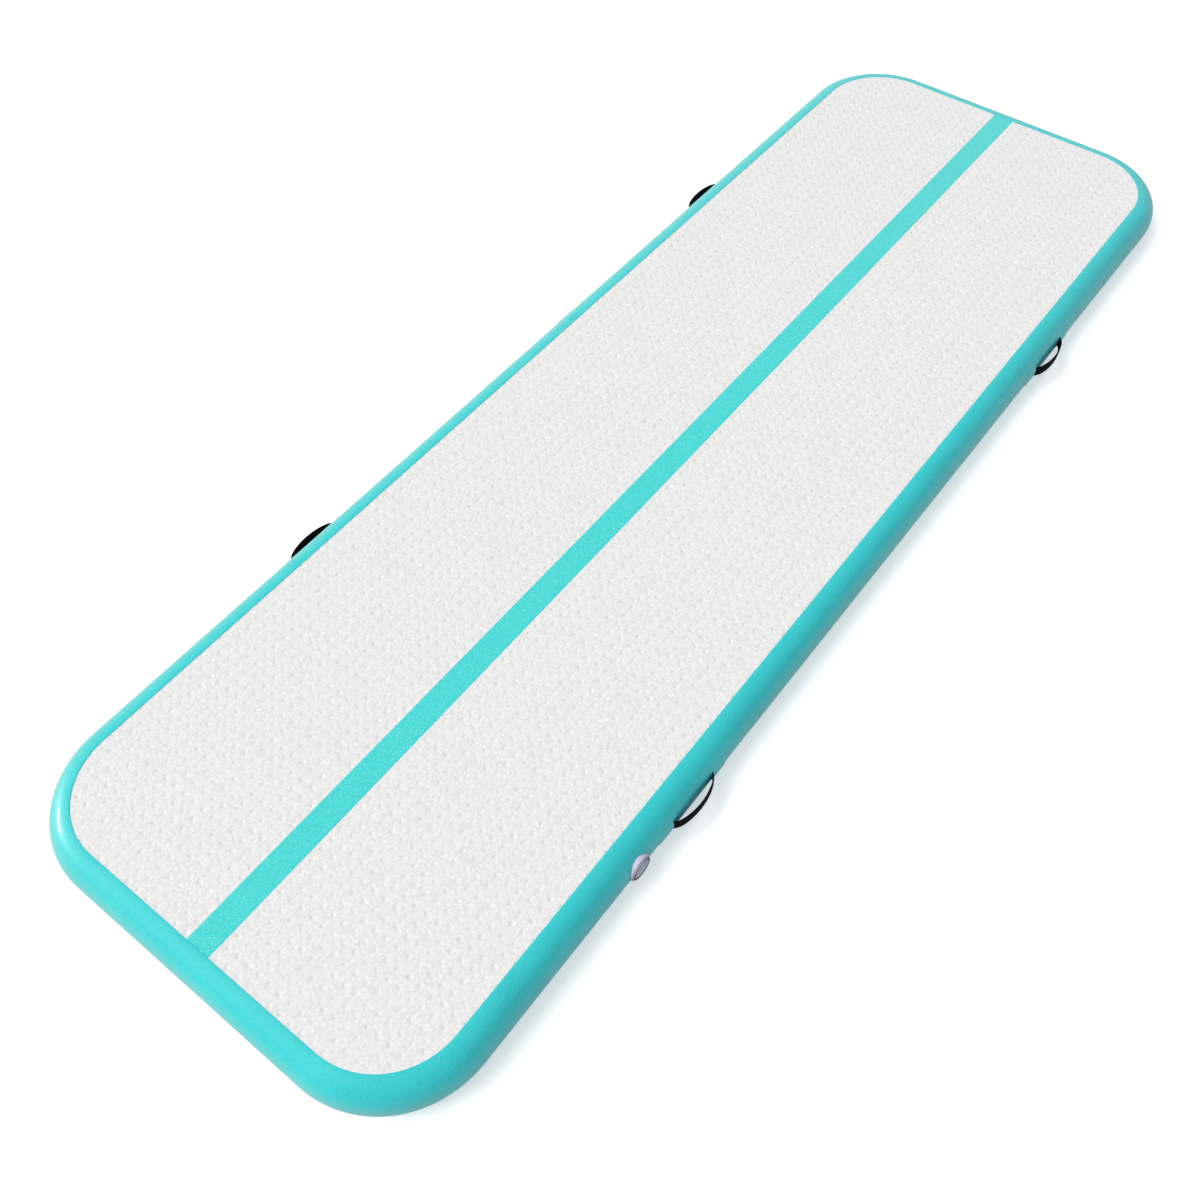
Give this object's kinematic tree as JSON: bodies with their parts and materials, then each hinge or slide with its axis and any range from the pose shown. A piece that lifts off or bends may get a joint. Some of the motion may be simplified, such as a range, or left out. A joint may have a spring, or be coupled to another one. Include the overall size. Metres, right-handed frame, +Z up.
{
  "type": "air track mat",
  "caption": "Long low inflatable tumbling mat with a bulged teal side wall, pale flat top with a teal centre line, black webbing side loops and a capped air valve.",
  "frame": {"origin": "centre of the underside, on the floor plane", "axes": "+Y along the length, towards the end away from the valve; +X to the side that carries the valve; +Z up, out of the tumbling face"},
  "size_m": [1.038, 3.0498, 0.102],
  "materials": {
    "teal_pvc": "smooth coated PVC, soft gloss",
    "panel": "coated drop-stitch skin, fine pebbled satin",
    "yarn": "polyester yarn",
    "webbing": "black woven webbing",
    "valve_plastic": "moulded, satin",
    "cap_plastic": "moulded, satin",
    "stem_plastic": "moulded, satin",
    "leash": "soft moulded plastic",
    "rubber": "matte",
    "spring_steel": "bright drawn wire"
  },
  "bodies": {
    "mat": {"top_skin": "panel", "bottom_skin": "panel", "drop_stitch_yarns": "yarn", "inner_side_strip": "teal_pvc", "side_wall_band": "teal_pvc", "side_band_splice": "teal_pvc", "centre_stripe": "teal_pvc", "handle_patch_right_front": "teal_pvc", "handle_patch_right_rear": "teal_pvc", "handle_patch_left_front": "teal_pvc", "handle_patch_left_rear": "teal_pvc", "handle_tails_right_front": "webbing", "handle_tails_right_rear": "webbing", "handle_tails_left_front": "webbing", "handle_tails_left_rear": "webbing", "valve_patch": "panel", "valve_gasket": "rubber", "valve_body": "valve_plastic", "valve_nut": "valve_plastic", "valve_spring": "spring_steel"},
    "handle_right_front": {"handle_strap_right_front": "webbing"},
    "handle_right_rear": {"handle_strap_right_rear": "webbing"},
    "handle_left_front": {"handle_strap_left_front": "webbing"},
    "handle_left_rear": {"handle_strap_left_rear": "webbing"},
    "cap_leash_end": {"leash_swivel": "cap_plastic", "cap_leash": "leash"},
    "cap": {"valve_cap": "cap_plastic", "cap_o_ring": "rubber"},
    "diaphragm": {"valve_diaphragm": "rubber", "diaphragm_retainer": "valve_plastic"},
    "stem": {"valve_stem": "stem_plastic"}
  },
  "joints": [
    {"name": "handle_right_front_swing", "type": "hinge", "parent": "mat", "child": "handle_right_front", "pos_m": [0.5015, -0.715, 0.051], "axis": [0, -1, 0], "range_deg": [-45, 45], "stiffness_Nm_per_rad": 0.02},
    {"name": "handle_right_rear_swing", "type": "hinge", "parent": "mat", "child": "handle_right_rear", "pos_m": [0.5015, 0.745, 0.051], "axis": [0, -1, 0], "range_deg": [-45, 45], "stiffness_Nm_per_rad": 0.02},
    {"name": "handle_left_front_swing", "type": "hinge", "parent": "mat", "child": "handle_left_front", "pos_m": [-0.5015, -0.715, 0.051], "axis": [0, 1, 0], "range_deg": [-45, 45], "stiffness_Nm_per_rad": 0.02},
    {"name": "handle_left_rear_swing", "type": "hinge", "parent": "mat", "child": "handle_left_rear", "pos_m": [-0.5015, 0.745, 0.051], "axis": [0, 1, 0], "range_deg": [-45, 45], "stiffness_Nm_per_rad": 0.02},
    {"name": "cap_lift", "type": "slide", "parent": "mat", "child": "cap_leash_end", "axis": [1, 0, 0], "range_m": [0, 0.03]},
    {"name": "cap_twist", "type": "hinge", "parent": "cap_leash_end", "child": "cap", "pos_m": [0.5, -0.882, 0.051], "axis": [1, 0, 0], "continuous": true},
    {"name": "stem_push", "type": "slide", "parent": "mat", "child": "diaphragm", "axis": [-1, 0, 0], "range_m": [0, 0.006], "stiffness_N_per_m": 250, "deforming": ["valve_spring"]},
    {"name": "stem_turn", "type": "hinge", "parent": "diaphragm", "child": "stem", "pos_m": [0.5, -0.882, 0.051], "axis": [1, 0, 0], "range_deg": [0, 90]}
  ]
}
